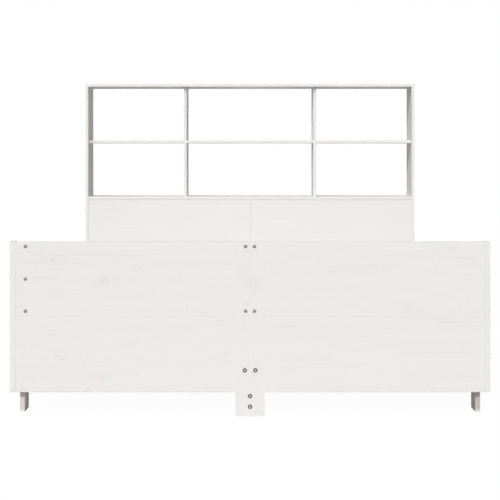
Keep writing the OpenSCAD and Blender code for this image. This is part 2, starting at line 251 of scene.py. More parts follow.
class BedFinish(bpy.types.PropertyGroup):
    """Colours and strengths of the finishes"""

    paint: bpy.props.FloatVectorProperty(
        name="Paint",
        description="Colour of the white paint",
        default=(0.846, 0.836, 0.822),
        subtype="COLOR",
        **COLOUR_RANGE,
    )
    blush: bpy.props.FloatVectorProperty(
        name="Blush",
        description="Colour where resin shows pink through the paint",
        default=(0.875, 0.772, 0.785),
        subtype="COLOR",
        **COLOUR_RANGE,
    )
    knot: bpy.props.FloatVectorProperty(
        name="Knot",
        description="Colour of a knot under the paint",
        default=(0.640, 0.610, 0.585),
        subtype="COLOR",
        **COLOUR_RANGE,
    )
    # Head paint is the same white paint made darker: painted shade on the head panels and bookcase
    # uprights
    head: bpy.props.FloatVectorProperty(
        name="Head paint",
        description="Paint on the head panels and the bookcase uprights, darkened as painted shade",
        default=(0.828, 0.817, 0.801),
        subtype="COLOR",
        **COLOUR_RANGE,
    )
    # Leg paint is the same white paint made warmer: painted warm shade from light bounced under
    # the bed
    leg: bpy.props.FloatVectorProperty(
        name="Leg paint",
        description="Colour of the paint on the legs, warmed as painted warm shade",
        default=(0.85, 0.812, 0.758),
        subtype="COLOR",
        **COLOUR_RANGE,
    )
    grain: bpy.props.FloatProperty(
        name="Grain",
        description="How much the grain shows through the paint",
        default=1.0,
        min=0.0,
        max=3.0,
    )
    zinc: bpy.props.FloatVectorProperty(
        name="Zinc",
        description="Colour of the zinc plated screws",
        default=(0.29, 0.285, 0.28),
        subtype="COLOR",
        **COLOUR_RANGE,
    )
    bolt: bpy.props.FloatVectorProperty(
        name="Bolt steel",
        description="Colour of the bolts",
        default=(0.105, 0.105, 0.105),
        subtype="COLOR",
        **COLOUR_RANGE,
    )


class Studio(bpy.types.PropertyGroup):
    """Camera and light"""

    lens: bpy.props.FloatProperty(
        name="Lens",
        description="Focal length in millimetres",
        default=104.9,
    )
    distance: bpy.props.FloatProperty(
        name="Distance",
        description="Camera to the face of the footboard",
        default=4.412,
        unit="LENGTH",
    )
    height: bpy.props.FloatProperty(
        name="Height",
        description="Camera above the floor",
        default=0.784,
        unit="LENGTH",
    )
    drop: bpy.props.FloatProperty(
        name="Drop",
        description="Share of the frame that the horizon lies above the middle",
        default=0.1852,
    )
    key: bpy.props.FloatProperty(
        name="Key",
        description="Light that the long panel at the upper left gives the fronts",
        default=0.33,
    )
    fill: bpy.props.FloatProperty(
        name="Fill",
        description="Light that the low lamp in front gives the fronts",
        default=0.311,
    )
    top: bpy.props.FloatProperty(
        name="Top",
        description="Light that the soft lamp overhead gives flat surfaces",
        default=0.040,
    )
    side: bpy.props.FloatProperty(
        name="Side",
        description="Light that the level lamps beside the bed give its sides, halved on the left",
        default=0.30,
    )
    back: bpy.props.FloatProperty(
        name="Back",
        description="Light that the level lamp behind the bed gives the backs",
        default=0.40,
    )
    sky: bpy.props.FloatProperty(
        name="Sky",
        description="Strength of the soft light all round",
        default=0.20,
    )
    front: bpy.props.FloatProperty(
        name="Front",
        description="Soft light added from the camera's side",
        default=0.28,
    )


# Shader helpers


def put(tree, kind, inputs=None, **settings):
    """Adds a node. An input is a value, or the socket that feeds it."""
    node = tree.nodes.new(kind)
    for name, value in settings.items():
        setattr(node, name, value)
    for name, value in (inputs or {}).items():
        if isinstance(value, bpy.types.NodeSocket):
            tree.links.new(value, node.inputs[name])
        else:
            node.inputs[name].default_value = value
    return node


def math_node(tree, operation, first, second=0.0, third=0.0, clamp=False):
    """Result of a Math node."""
    inputs = {0: first, 1: second, 2: third}
    return put(tree, "ShaderNodeMath", inputs, operation=operation, use_clamp=clamp).outputs[0]


def vector_node(tree, operation, first, second):
    """Result of a Vector Math node, a number for a length and a vector otherwise."""
    node = put(tree, "ShaderNodeVectorMath", {0: first, 1: second}, operation=operation)
    return node.outputs["Value" if operation == "LENGTH" else "Vector"]


def weighted_sum(tree, terms, start=0.0):
    """Start plus every value times its share."""
    total = start
    for value, share in terms:
        total = math_node(tree, "MULTIPLY_ADD", value, share, total)
    return total


def ramp(tree, value, low, high):
    """Zero at low, one at high, smooth between."""
    inputs = {"Value": value, "From Min": low, "From Max": high}
    node = put(tree, "ShaderNodeMapRange", inputs, interpolation_type="SMOOTHSTEP")
    return node.outputs["Result"]


def blend(tree, factor, first, second, mode="MIX"):
    """Colour between two colours, or their product."""
    node = put(tree, "ShaderNodeMix", data_type="RGBA", blend_type=mode)
    for index, value in ((0, factor), (6, first), (7, second)):
        if isinstance(value, bpy.types.NodeSocket):
            tree.links.new(value, node.inputs[index])
        else:
            node.inputs[index].default_value = value
    return node.outputs[2]


def noise(tree, vector, detail, roughness, scale=1.0, distortion=0.0):
    """Smooth noise from 0 to 1."""
    inputs = {
        "Vector": vector,
        "Scale": scale,
        "Detail": detail,
        "Roughness": roughness,
        "Distortion": distortion,
    }
    return put(tree, "ShaderNodeTexNoise", inputs).outputs["Fac"]


def attribute(tree, name):
    """Node that reads an attribute of the mesh."""
    return put(tree, "ShaderNodeAttribute", attribute_name=name)


def object_coords(tree):
    """Place in metres, the same for every piece."""
    return put(tree, "ShaderNodeTexCoord").outputs["Object"]


def opaque(colour):
    """Colour with full alpha."""
    return (*colour, 1.0)


def grey(level):
    """Opaque grey."""
    return (level, level, level, 1.0)


def new_material(name):
    """Empty material, its tree and its shader."""
    material = bpy.data.materials.new(name)
    material.use_nodes = True
    tree = material.node_tree
    return tree, tree.nodes["Principled BSDF"]


def add_bump(tree, shader, height, strength, distance):
    """Relief on a shader."""
    inputs = {"Height": height, "Strength": strength, "Distance": distance}
    bump = put(tree, "ShaderNodeBump", inputs)
    tree.links.new(bump.outputs["Normal"], shader.inputs["Normal"])


# Painted pine. Each pattern: repeats a metre along and across the grain, detail, roughness
SWELL = (0.75, 7.0, 1.5, 0.45)
FIBRE = (9.0, 640.0, 3.0, 0.6)
STREAK = (1.6, 55.0, 3.0, 0.55)
CLOUD = (3.0, 9.0, 2.0, 0.5)
BRUSH = (30.0, 260.0, 2.0, 0.5)
RINGS = (160.0, 330.0, 1.0, 0.5)

# How many growth lines a full swell is cut into, as an angle
SWELL_TURNS = 95.0

# Stray knots: places a metre along and across, their core and rim, and their strength
STRAY_GRID = (2.3, 4.1)
STRAY_CORE, STRAY_RIM = 0.012, 0.075
STRAY_STRENGTH = 0.6

# What stays of stray knots and clouds on boards whose knots are placed one by one
STRAYS_KEPT, CLOUDS_KEPT = 0.2, 0.3

# Spread of a placed knot's dark spot and of the pink round it, across and up
SPOT_SPREAD, HALO_SPREAD = (1.0, 1.0), (2.6, 2.2)
SPOT_CORE, SPOT_RIM = 0.1, 1.15

# Shares of the blush, and of a knot's colour on its rings and between them
BLUSH_SHARE = 0.26
RING_SHARE, KNOT_SHARE = 0.55, 0.16

# Shares by which late wood, streaks, veins, fibres and worn arrises darken the paint
LINE_DARK, STREAK_DARK, VEIN_DARK, FIBRE_DARK, WORN_DARK = 0.007, 0.020, 0.016, 0.012, 0.015

# Roughness of smooth paint, and what brush marks and knots add to it
PAINT_ROUGH, BRUSH_ROUGH, KNOT_ROUGH = 0.55, 0.16, 0.10

# Shares of lines, fibres, brush marks and knots in the relief
LINE_RELIEF, FIBRE_RELIEF, BRUSH_RELIEF, KNOT_RELIEF = 0.35, 0.5, 0.25, -0.6


def along_grain(grain, along, across):
    """Scale vector that stretches a pattern along the grain."""
    scale = [across, across, across]
    scale[AXES[grain]] = along
    return tuple(scale)


def pine_pattern(tree, place, grain, pattern):
    """Noise drawn out along the grain."""
    along, across, detail, roughness = pattern
    vector = vector_node(tree, "MULTIPLY", place, along_grain(grain, along, across))
    return noise(tree, vector, detail, roughness)


def grain_lines(tree, place, grain):
    """Growth lines of a flat-sawn board: contour lines of a long slow swell."""
    swell = pine_pattern(tree, place, grain, SWELL)
    wave = math_node(tree, "SINE", math_node(tree, "MULTIPLY", swell, SWELL_TURNS))
    return ramp(tree, wave, -0.2, 1.0)


def knot_spot(tree, coords, knot, spread, strength):
    """Soft spot on a knot: its strength in the middle, zero outside its spread."""
    offset = vector_node(tree, "SUBTRACT", coords, knot.place)
    shape = (1.0 / (knot.wide * spread[0]), 0.0, 1.0 / (knot.high * spread[1]))
    scaled = vector_node(tree, "MULTIPLY", offset, shape)
    reach = vector_node(tree, "LENGTH", scaled, (0.0, 0.0, 0.0))
    body = math_node(tree, "SUBTRACT", 1.0, ramp(tree, reach, SPOT_CORE, SPOT_RIM))
    return math_node(tree, "MULTIPLY", body, strength)


def stray_knots(tree, place, grain):
    """Small knots scattered over the boards, drawn out a little along the grain."""
    vector = vector_node(tree, "MULTIPLY", place, along_grain(grain, *STRAY_GRID))
    cells = put(tree, "ShaderNodeTexVoronoi", {"Vector": vector, "Scale": 1.0}, feature="F1")
    chance = put(tree, "ShaderNodeSeparateColor", {"Color": cells.outputs["Color"]}).outputs[0]
    reach = ramp(tree, cells.outputs["Distance"], STRAY_CORE, STRAY_RIM)
    spot = math_node(tree, "SUBTRACT", 1.0, reach)
    spot = math_node(tree, "MULTIPLY", spot, ramp(tree, chance, 0.35, 0.75))
    return math_node(tree, "MULTIPLY", spot, STRAY_STRENGTH)


def tint_and_knots(tree, coords, place, grain, knots):
    """How pink and how knotty the wood under the paint is."""
    tint = ramp(tree, pine_pattern(tree, place, grain, CLOUD), 0.55, 0.78)
    dark = stray_knots(tree, place, grain)
    if knots:
        tint = math_node(tree, "MULTIPLY", tint, CLOUDS_KEPT)
        dark = math_node(tree, "MULTIPLY", dark, STRAYS_KEPT)
    for knot in knots:
        if knot.pink:
            halo = knot_spot(tree, coords, knot, HALO_SPREAD, knot.pink)
            tint = math_node(tree, "ADD", tint, halo, clamp=True)
        if knot.depth:
            spot = knot_spot(tree, coords, knot, SPOT_SPREAD, knot.depth)
            dark = math_node(tree, "ADD", dark, spot, clamp=True)
    return tint, dark


def painted_pine(name, grain, finish, paint, knots=()):
    """White paint over pine: faint growth lines, fibres, knots and a thin arris."""
    tree, shader = new_material(name)
    coords = object_coords(tree)
    place = vector_node(tree, "ADD", coords, attribute(tree, "board_shift").outputs["Vector"])
    fibre = pine_pattern(tree, place, grain, FIBRE)
    streak = pine_pattern(tree, place, grain, STREAK)
    brush = pine_pattern(tree, place, grain, BRUSH)
    lines = grain_lines(tree, place, grain)
    tint, dark = tint_and_knots(tree, coords, place, grain, knots)

    blush = math_node(tree, "MULTIPLY", tint, BLUSH_SHARE)
    colour = blend(tree, blush, opaque(paint), opaque(finish.blush))
    ring = ramp(tree, pine_pattern(tree, place, grain, RINGS), 0.42, 0.66)
    shows = weighted_sum(tree, [(ring, RING_SHARE)], KNOT_SHARE)
    colour = blend(tree, math_node(tree, "MULTIPLY", dark, shows), colour, opaque(finish.knot))

    edge = attribute(tree, "edge").outputs["Fac"]
    darker = [
        (math_node(tree, "SUBTRACT", 1.0, lines), LINE_DARK * finish.grain),
        (math_node(tree, "SUBTRACT", streak, 0.5), STREAK_DARK * finish.grain),
        (math_node(tree, "SUBTRACT", fibre, 0.5), FIBRE_DARK * finish.grain),
        (ramp(tree, streak, 0.60, 0.74), VEIN_DARK * finish.grain),
        (math_node(tree, "MULTIPLY", edge, ramp(tree, brush, 0.42, 0.7)), WORN_DARK),
    ]
    level = math_node(tree, "SUBTRACT", 1.0, weighted_sum(tree, darker))
    shade = put(tree, "ShaderNodeCombineColor", {0: level, 1: level, 2: level}).outputs[0]
    colour = blend(tree, 1.0, colour, shade, "MULTIPLY")
    tree.links.new(colour, shader.inputs["Base Color"])

    rough = weighted_sum(tree, [(brush, BRUSH_ROUGH), (dark, KNOT_ROUGH)], PAINT_ROUGH)
    tree.links.new(rough, shader.inputs["Roughness"])
    shader.inputs["IOR"].default_value = 1.45
    shader.inputs["Specular IOR Level"].default_value = 0.15

    raised = [
        (lines, LINE_RELIEF),
        (fibre, FIBRE_RELIEF),
        (brush, BRUSH_RELIEF),
        (dark, KNOT_RELIEF),
    ]
    add_bump(tree, shader, weighted_sum(tree, raised), strength=0.25, distance=0.08 * MM)


# Shares of a metal's colour in its dull patches and in a recess, the darker recess being painted
# shade
DULL_SHARE, RECESS_SHADE_SHARE = 0.75, 0.4

# Repeats a metre of its patches and of its scratches
PATCH_SCALE = 420.0
SCRATCH_SCALE = (900.0, 900.0, 5200.0)
SCRATCH_ROUGH = 0.22


def metal(name, colour, rough, painted_socket_floor):
    """Plated steel, a little uneven, with fine scratches, painted shade in its recess and a set
    grey painted on its socket floor.
    """
    tree, shader = new_material(name)
    coords = object_coords(tree)
    patch = noise(tree, coords, detail=3.0, roughness=0.6, scale=PATCH_SCALE)
    drawn = vector_node(tree, "MULTIPLY", coords, SCRATCH_SCALE)
    scratch = noise(tree, drawn, detail=2.0, roughness=0.6)
    dull, recess_shade = (
        opaque(tuple(share * part for part in colour)) for share in (DULL_SHARE, RECESS_SHADE_SHARE)
    )
    plate = blend(tree, ramp(tree, patch, 0.3, 0.7), dull, opaque(colour))
    # The recess is painted darker, as shade
    plate = blend(tree, attribute(tree, "recess").outputs["Fac"], plate, recess_shade)
    # The socket floor gets a set grey: painted shade on the screws, a painted highlight on the
    # bolts
    plate = blend(tree, attribute(tree, "painted_socket_floor").outputs["Fac"], plate, grey(painted_socket_floor))
    tree.links.new(plate, shader.inputs["Base Color"])
    shader.inputs["Metallic"].default_value = 1.0
    uneven = weighted_sum(tree, [(scratch, SCRATCH_ROUGH)], rough)
    tree.links.new(uneven, shader.inputs["Roughness"])
    add_bump(tree, shader, scratch, strength=0.2, distance=0.05 * MM)


# Bare beech: its two colours, repeats a metre, and its roughness with what a fleck adds
BEECH_DARK, BEECH_PALE = (0.52, 0.33, 0.17), (0.64, 0.44, 0.25)
BEECH_SCALE = (300.0, 300.0, 40.0)
BEECH_ROUGH, FLECK_ROUGH = 0.5, 0.2


def bare_beech(name):
    """Turned dowel wood."""
    tree, shader = new_material(name)
    drawn = vector_node(tree, "MULTIPLY", object_coords(tree), BEECH_SCALE)
    fleck = noise(tree, drawn, detail=3.0, roughness=0.6, distortion=0.4)
    colour = blend(tree, ramp(tree, fleck, 0.3, 0.7), opaque(BEECH_DARK), opaque(BEECH_PALE))
    tree.links.new(colour, shader.inputs["Base Color"])
    rough = weighted_sum(tree, [(fleck, FLECK_ROUGH)], BEECH_ROUGH)
    tree.links.new(rough, shader.inputs["Roughness"])


# Mesh helpers


def linked(name, data):
    """New object in the scene."""
    piece = bpy.data.objects.new(name, data)
    bpy.context.scene.collection.objects.link(piece)
    return piece


def as_object(name, bm):
    """Object of a bmesh, which is freed."""
    mesh = bpy.data.meshes.new(name)
    bm.to_mesh(mesh)
    bm.free()
    return linked(name, mesh)


def settle(piece):
    """Applies what is live on a piece."""
    graph = bpy.context.evaluated_depsgraph_get()
    mesh = bpy.data.meshes.new_from_object(piece.evaluated_get(graph), depsgraph=graph)
    piece.modifiers.clear()
    old = piece.data
    piece.data = mesh
    bpy.data.meshes.remove(old)


def drop(piece):
    """Removes a helper object and its mesh."""
    mesh = piece.data
    bpy.data.objects.remove(piece)
    bpy.data.meshes.remove(mesh)


# Boards

# How far from the origin, in metres, a board may take its stretch of grain
SHIFT_REACH = 40.0


def seeded_shift(name):
    """Place of a board in the pattern space, the same on each run."""
    source = random.Random(name)
    return [source.uniform(-SHIFT_REACH, SHIFT_REACH) for _ in range(3)]


def round_edges(bm, edges, radius, segments):
    """Rounds edges of a bmesh."""
    bmesh.ops.bevel(
        bm,
        geom=edges,
        offset=radius,
        segments=segments,
        profile=0.5,
        affect="EDGES",
        clamp_overlap=True,
    )


def eased_board(low, high, grain, arris, end_arris):
    """Bmesh of a board with rounded long edges and lightly eased ends."""
    size = high - low
    middle = (high + low) / 2
    axis = AXES[grain]
    bm = bmesh.new()
    bmesh.ops.create_cube(bm, size=1.0)
    for vert in bm.verts:
        vert.co = Vector(part * side for part, side in zip(vert.co, size)) + middle
    marks = bm.verts.layers.float.new("edge")

    def runs_along(edge):
        """Whether an edge is one of the four long ones."""
        first, second = edge.verts
        return abs((first.co - second.co)[axis]) > 0.5 * size[axis]

    round_edges(bm, [edge for edge in bm.edges if runs_along(edge)], arris, segments=3)
    ends = [face for face in bm.faces if abs(face.normal[axis]) > 0.9]
    rims = list({edge for face in ends for edge in face.edges})
    round_edges(bm, rims, end_arris, segments=2)
    bm.normal_update()
    for face in bm.faces:
        face.smooth = max(abs(part) for part in face.normal) <= 0.999
        if face.smooth:
            for vert in face.verts:
                vert[marks] = 1.0
    return bm


def board(node, grain, material, arris, end_arris):
    """Replaces a CAD board by one with eased edges and its own stretch of grain."""
    low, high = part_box(node)
    piece = as_object(node + "_board", eased_board(low, high, grain, arris, end_arris))
    mesh = piece.data
    layer = mesh.attributes.new("board_shift", "FLOAT_VECTOR", "POINT")
    layer.data.foreach_set("vector", seeded_shift(node) * len(mesh.vertices))
    mesh.materials.append(material)
    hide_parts(node)
    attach(piece, BODY)


def boards(nodes, grain, material, arris, end_arris):
    """Replaces several CAD boards by eased ones in one material."""
    for node in nodes:
        board(node, grain, bpy.data.materials[material], arris, end_arris)


def dress(node, material):
    """Gives a CAD node whose shape is right its finish."""
    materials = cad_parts[node].data.materials
    materials.clear()
    materials.append(bpy.data.materials[material])


# Heads and shanks


def lathe(outline, steps):
    """Bmesh of an outline of (radius, height) pairs turned round Z, closed at both ends."""
    bm = bmesh.new()
    turns = [2 * math.pi * i / steps for i in range(steps)]
    rings = []
    for radius, height in outline:
        if radius == 0.0:
            rings.append([bm.verts.new((0.0, 0.0, height))])
            continue
        points = [(radius * math.cos(turn), radius * math.sin(turn), height) for turn in turns]
        rings.append([bm.verts.new(point) for point in points])
    for lower, upper in zip(rings, rings[1:]):
        for i in range(steps):
            j = (i + 1) % steps
            if len(lower) == 1:
                bm.faces.new((lower[0], upper[j], upper[i]))
            elif len(upper) == 1:
                bm.faces.new((lower[i], lower[j], upper[0]))
            else:
                bm.faces.new((lower[i], lower[j], upper[j], upper[i]))
    bmesh.ops.recalc_face_normals(bm, faces=bm.faces[:])
    for face in bm.faces:
        face.smooth = True
    return bm


def dome_outline(radius, height, steps, rim):
    """Outline of a domed head: flat underside, short rim, then an arc to the middle."""
    points = [(0.0, 0.0), (radius, 0.0), (radius, rim)]
    rise = height - rim
    sphere = (radius * radius + rise * rise) / (2 * rise)
    for i in range(1, steps):
        r = radius * (1 - i / steps)
        points.append((r, height - sphere + math.sqrt(sphere * sphere - r * r)))
    points.append((0.0, height))
    return points


# What is left of a recess arm's length and width at its floor
ARM_TAPER = 0.55


def tapered_bar(length, wide, top, bottom, turn):
    """Cutter for one arm of a cross recess."""
    bm = bmesh.new()
    bmesh.ops.create_cube(bm, size=1.0)
    for vert in bm.verts:
        upper = vert.co.z > 0
        narrow = 1.0 if upper else ARM_TAPER
        x = vert.co.x * length * narrow
        y = vert.co.y * wide * narrow
        vert.co = (
            x * math.cos(turn) - y * math.sin(turn),
            x * math.sin(turn) + y * math.cos(turn),
            top if upper else bottom,
        )
    return as_object("arm", bm)


def cross_cutters(length, wide, top, bottom):
    """Cutters for both arms of a cross recess."""
    return [tapered_bar(length, wide, top, bottom, turn) for turn in (0.0, math.pi / 2)]


def socket_cutter(across, top, bottom):
    """Six-sided cutter for a socket."""
    bm = bmesh.new()
    radius = across / 2 / math.cos(math.pi / 6)
    depth = top - bottom
    bmesh.ops.create_cone(
        bm, cap_ends=True, segments=6, radius1=radius, radius2=radius, depth=depth
    )
    bmesh.ops.translate(bm, verts=bm.verts[:], vec=(0.0, 0.0, (top + bottom) / 2))
    return as_object("socket", bm)


def cut(target, cutters):
    """Takes the cutters out of the target and leaves a plain mesh."""
    for cutter in cutters:
        modifier = target.modifiers.new("cut", "BOOLEAN")
        modifier.operation = "DIFFERENCE"
        modifier.solver = "EXACT"
        modifier.object = cutter
    settle(target)
    for cutter in cutters:
        drop(cutter)


def mark_recess(head, reach, low, high):
    """Marks the faces of a recess on a head, where the metal paints shade, and those of its floor
    that look straight out, where it paints a set grey as shade or highlight.
    """
    faces = head.data.polygons
    inside = [low < face.center.z < high and face.center.xy.length < reach for face in faces]
    flat = [within and face.normal.z > 0.9 for within, face in zip(inside, faces)]
    for name, marks in (("recess", inside), ("painted_socket_floor", flat)):
        layer = head.data.attributes.new(name, "FLOAT", "FACE")
        layer.data.foreach_set("value", [float(mark) for mark in marks])


def pan_head(sizes):
    """Domed screw head with a cross recess, its underside at zero."""
    height = sizes.pan_height
    outline = dome_outline(sizes.pan_diameter / 2, height, steps=7, rim=0.5 * MM)
    head = as_object("pan_head", lathe(outline, steps=40))
    cut(head, cross_cutters(6 * MM, 1.5 * MM, top=height + 1 * MM, bottom=height - 1.3 * MM))
    mark_recess(head, reach=3.2 * MM, low=0.1 * MM, high=height - 0.35 * MM)
    return head


def flush_head(sizes):
    """Sunk screw head with a cross recess, its top at zero."""
    radius, neck = sizes.flush_diameter / 2, sizes.shank_diameter / 2
    rim, under = -0.2 * MM, neck - radius
    outline = [(0.0, under), (neck, under), (radius, rim), (radius, 0.0), (0.0, 0.0)]
    head = as_object("flush_head", lathe(outline, steps=32))
    cut(head, cross_cutters(5 * MM, 1.2 * MM, top=1 * MM, bottom=-1.4 * MM))
    mark_recess(head, reach=2.6 * MM, low=-1.5 * MM, high=-0.1 * MM)
    return head


def bolt_head(sizes):
    """Domed bolt head with a six-sided socket, its underside at zero."""
    height = sizes.bolt_height
    outline = dome_outline(sizes.bolt_head / 2, height, steps=9, rim=1.2 * MM)
    head = as_object("bolt_head", lathe(outline, steps=48))
    cut(head, [socket_cutter(sizes.socket, top=height + 1 * MM, bottom=height - 2.2 * MM)])
    mark_recess(head, reach=sizes.socket * 0.6, low=1.5 * MM, high=height - 0.6 * MM)
    return head


def unit_shank(name, diameter):
    """Shank one metre long that the tree shortens, with a pointed end."""
    radius = diameter / 2
    outline = [(0.0, -1.0), (radius * 0.5, -0.97), (radius, -0.9), (radius, 0.0), (0.0, 0.0)]
    return as_object(name, lathe(outline, steps=12))


# Seats of the screws and bolts

# Points of a CAD node closer than this are one, and this much of a fastener's end holds its head
WELD = 0.01 * MM
HEAD_ZONE = 3.0 * MM


def islands(node):
    """The separate solids of a CAD node, each as a list of points."""
    bm = bmesh.new()
    bm.from_mesh(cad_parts[node].data)
    bmesh.ops.remove_doubles(bm, verts=bm.verts[:], dist=WELD)
    seen = set()
    for start in bm.verts:
        if start in seen:
            continue
        seen.add(start)
        queue, found = [start], []
        while queue:
            vert = queue.pop()
            found.append(vert.co.copy())
            for edge in vert.link_edges:
                other = edge.other_vert(vert)
                if other not in seen:
                    seen.add(other)
                    queue.append(other)
        yield found
    bm.free()


class Seat:
    """Where a fastener sits: the middle of its head's top, the way it looks and its length."""

    def __init__(self, points):
        low = Vector(min(point[i] for point in points) for i in range(3))
        high = Vector(max(point[i] for point in points) for i in range(3))
        axis = max(range(3), key=lambda i: high[i] - low[i])
        middle = (low + high) / 2
        girth = {}
        for way, end in ((-1, low[axis]), (1, high[axis])):
            near = [point for point in points if abs(point[axis] - end) < HEAD_ZONE]
            girth[way] = max(self.off_axis(point, middle, axis) for point in near)
        way = max(girth, key=girth.get)
        self.looks = Vector((0.0, 0.0, 0.0))
        self.looks[axis] = float(way)
        self.top = middle.copy()
        self.top[axis] = high[axis] if way > 0 else low[axis]
        self.length = high[axis] - low[axis]

    @staticmethod
    def off_axis(point, middle, axis):
        """Distance of a point from the fastener's axis."""
        return math.sqrt(sum((point[i] - middle[i]) ** 2 for i in range(3) if i != axis))


def seat_points(name, seats, head_height):
    """Mesh of points, one a fastener, with the turn and the length of each."""
    mesh = bpy.data.meshes.new(name)
    mesh.from_pydata([tuple(seat.top - seat.looks * head_height) for seat in seats], [], [])
    mesh.attributes.new("turn", "FLOAT_VECTOR", "POINT")
    mesh.attributes.new("reach", "FLOAT", "POINT")
    up = Vector((0.0, 0.0, 1.0))
    source = random.Random(name)
    for i, seat in enumerate(seats):
        spin = Quaternion(up, source.uniform(0.0, math.pi / 2))
        turn = up.rotation_difference(seat.looks) @ spin
        mesh.attributes["turn"].data[i].vector = turn.to_euler()
        mesh.attributes["reach"].data[i].value = seat.length - head_height
    return linked(name, mesh)


# Geometry Nodes trees


def new_tree(name, **inputs):
    """Tree with geometry in and out and other inputs by name and type, and what it is given."""
    tree = bpy.data.node_groups.new(name, "GeometryNodeTree")
    face = tree.interface
    for socket, kind in {"Geometry": "Geometry", **inputs}.items():
        face.new_socket(socket, in_out="INPUT", socket_type="NodeSocket" + kind)
    face.new_socket("Geometry", in_out="OUTPUT", socket_type="NodeSocketGeometry")
    return tree, tree.nodes.new("NodeGroupInput").outputs


def end_tree(tree, geometry, material):
    """Ends a tree with plain geometry in a material."""
    real = put(tree, "GeometryNodeRealizeInstances", {"Geometry": geometry})
    inputs = {"Geometry": real.outputs[0], "Material": material}
    finished = put(tree, "GeometryNodeSetMaterial", inputs)
    put(tree, "NodeGroupOutput", {0: finished.outputs[0]})


def point_attribute(tree, name, kind):
    """Attribute of the points that a tree works on."""
    node = put(tree, "GeometryNodeInputNamedAttribute", {"Name": name}, data_type=kind)
    return node.outputs["Attribute"]


def fastener_tree():
    """Tree that sets a head and a shank on every point."""
    tree, given = new_tree("Fasteners", Head="Object", Shank="Object", Finish="Material")
    turn = point_attribute(tree, "turn", "FLOAT_VECTOR")
    reach = point_attribute(tree, "reach", "FLOAT")
    rotation = put(tree, "FunctionNodeEulerToRotation", {0: turn}).outputs[0]
    stretch = put(tree, "ShaderNodeCombineXYZ", {0: 1.0, 1: 1.0, 2: reach}).outputs[0]
    join = tree.nodes.new("GeometryNodeJoinGeometry")
    for source, scale in (("Shank", stretch), ("Head", (1.0, 1.0, 1.0))):
        shape = put(tree, "GeometryNodeObjectInfo", {"Object": given[source]})
        inputs = {
            "Points": given["Geometry"],
            "Instance": shape.outputs["Geometry"],
            "Rotation": rotation,
            "Scale": scale,
        }
        placed = put(tree, "GeometryNodeInstanceOnPoints", inputs)
        tree.links.new(placed.outputs[0], join.inputs[0])
    end_tree(tree, join.outputs[0], given["Finish"])


def slat_tree():
    """Tree that repeats a slat along the bed, each with its own stretch of grain."""
    tree, given = new_tree("Slats", Count="Int", Pitch="Float", Seed="Int", Finish="Material")
    step = put(tree, "ShaderNodeCombineXYZ", {1: given["Pitch"]}).outputs[0]
    row = put(tree, "GeometryNodeMeshLine", {"Count": given["Count"], "Offset": step})
    inputs = {"Points": row.outputs[0], "Instance": given["Geometry"]}
    placed = put(tree, "GeometryNodeInstanceOnPoints", inputs)
    reach = (SHIFT_REACH,) * 3
    inputs = {0: tuple(-part for part in reach), 1: reach, "Seed": given["Seed"]}
    shift = put(tree, "FunctionNodeRandomValue", inputs, data_type="FLOAT_VECTOR")
    inputs = {
        "Geometry": placed.outputs[0],
        "Name": "board_shift",
        "Value": shift.outputs[0],
    }
    stored = put(
        tree,
        "GeometryNodeStoreNamedAttribute",
        inputs,
        data_type="FLOAT_VECTOR",
        domain="INSTANCE",
    )
    end_tree(tree, stored.outputs[0], given["Finish"])


def grow(piece, tree, **inputs):
    """Runs a tree on a piece, with inputs by name, and leaves a plain mesh."""
    tree = bpy.data.node_groups[tree]
    modifier = piece.modifiers.new("grow", "NODES")
    modifier.node_group = tree
    sockets = {
        socket.name: socket.identifier
        for socket in tree.interface.items_tree
        if socket.in_out == "INPUT"
    }
    for name, value in inputs.items():
        modifier[sockets[name]] = value
    settle(piece)


def set_fasteners(node, name, head, shank, head_height, material, slot):
    """Replaces a CAD node of screws or bolts by detailed ones at the same seats."""
    seats = [Seat(points) for points in islands(node)]
    piece = seat_points(name, seats, head_height)
    finish = bpy.data.materials[material]
    grow(piece, "Fasteners", Head=head, Shank=shank, Finish=finish)
    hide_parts(node)
    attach(piece, BODY)


# Studio

# Grey of the floor as the bed sees it, and its grey and glow as the camera does
FLOOR_GREY, FLOOR_SEEN_GREY, FLOOR_GLOW = 0.41, 0.08, 0.955
FLOOR_HALF = 40.0
FLOOR_BELOW = 0.5 * MM

# Shares of the sky's strength at the horizon, and added overhead
SKY_LOW, SKY_RISE = 0.80, 0.35

# Ways that a lit surface can face
FRONT, RIGHT, LEFT, REAR, ABOVE = (0, -1, 0), (1, 0, 0), (-1, 0, 0), (0, 1, 0), (0, 0, 1)

# Parts of the long panel: steps to the left for one towards the camera, and share of the key
KEY_PANEL = ((0.15, 0.36), (0.5, 0.25), (0.9, 0.20), (1.4, 0.19))
KEY_RISE = 0.83
KEY_ANGLE = 2.5

# Other lamps: name, direction, what it lights, the property and its share, angle in degrees
LAMPS = (
    ("Fill", (0.0, -1.0, 0.35), FRONT, "fill", 1.0, 4.0),
    ("Top", (0.0, -0.12, 1.0), ABOVE, "top", 1.0, 25.0),
    ("Left", LEFT, LEFT, "side", 0.5, 0.4),
    ("Right", RIGHT, RIGHT, "side", 1.0, 0.4),
    ("Back", REAR, REAR, "back", 1.0, 0.4),
)


def backdrop_ray(tree):
    """One for the rays that see the studio white: from the camera, mirrored or let through."""
    rays = put(tree, "ShaderNodeLightPath").outputs
    seen = math_node(tree, "MAXIMUM", rays["Is Camera Ray"], rays["Is Glossy Ray"])
    return math_node(tree, "MAXIMUM", seen, rays["Is Transmission Ray"])


